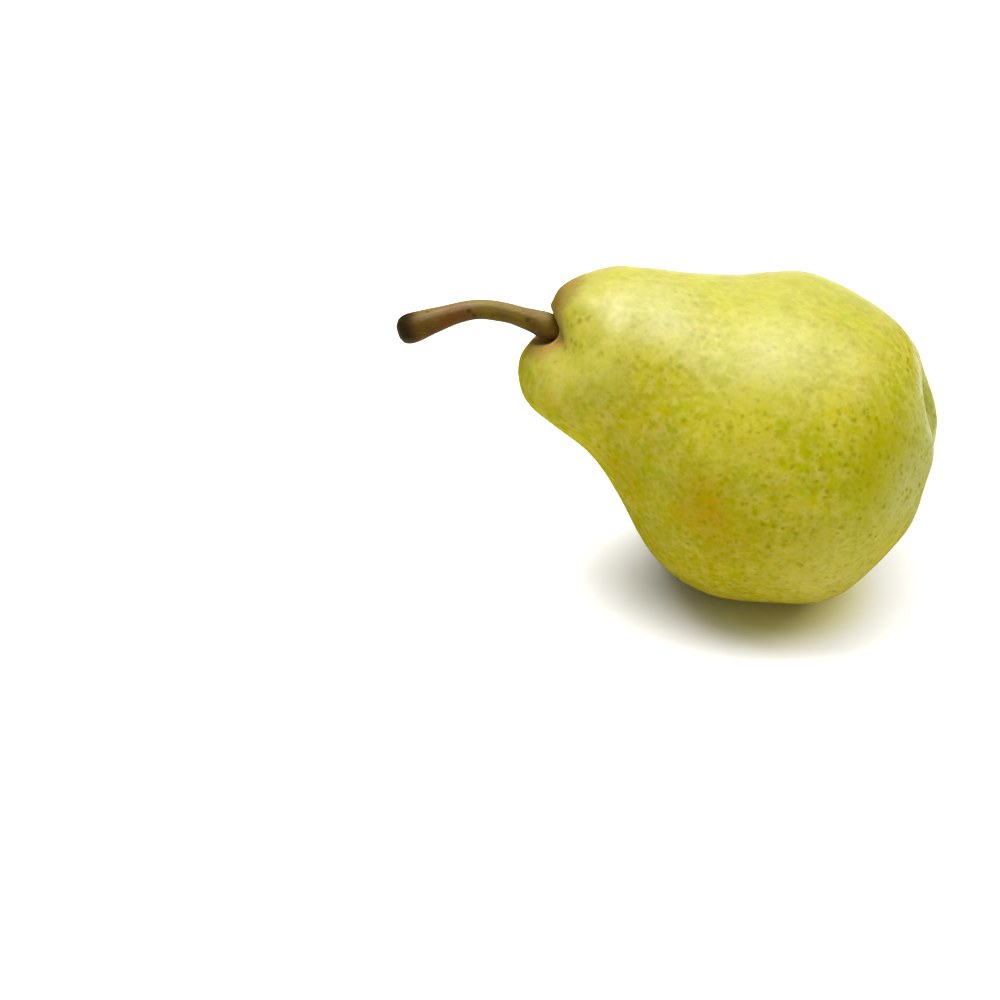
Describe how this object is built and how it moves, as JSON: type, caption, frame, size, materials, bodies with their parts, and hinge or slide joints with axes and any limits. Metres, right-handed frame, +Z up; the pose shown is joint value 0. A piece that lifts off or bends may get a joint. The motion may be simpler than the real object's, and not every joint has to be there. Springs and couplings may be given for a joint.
{
  "type": "pear",
  "caption": "Ripe yellow-green pear lying on its side, with a curved woody stem in its cavity and a dried calyx in its eye, for use as a prop.",
  "frame": {"origin": "centre of the small flat spot that the fruit rests on", "axes": "+Z up, +X along the fruit from the stem end to the eye, +Y across it"},
  "size_m": [0.112, 0.068, 0.0724],
  "materials": {
    "skin": "smooth waxy yellow-green skin with fine olive dots and russet round the stem",
    "stem_bark": "olive-brown bark, rough, darker at the swollen tip",
    "dried_calyx": "dry brittle dark brown sepals and stamens"
  },
  "bodies": {
    "root": {"fruit": "skin", "stem": "stem_bark", "calyx": "dried_calyx"}
  },
  "joints": []
}
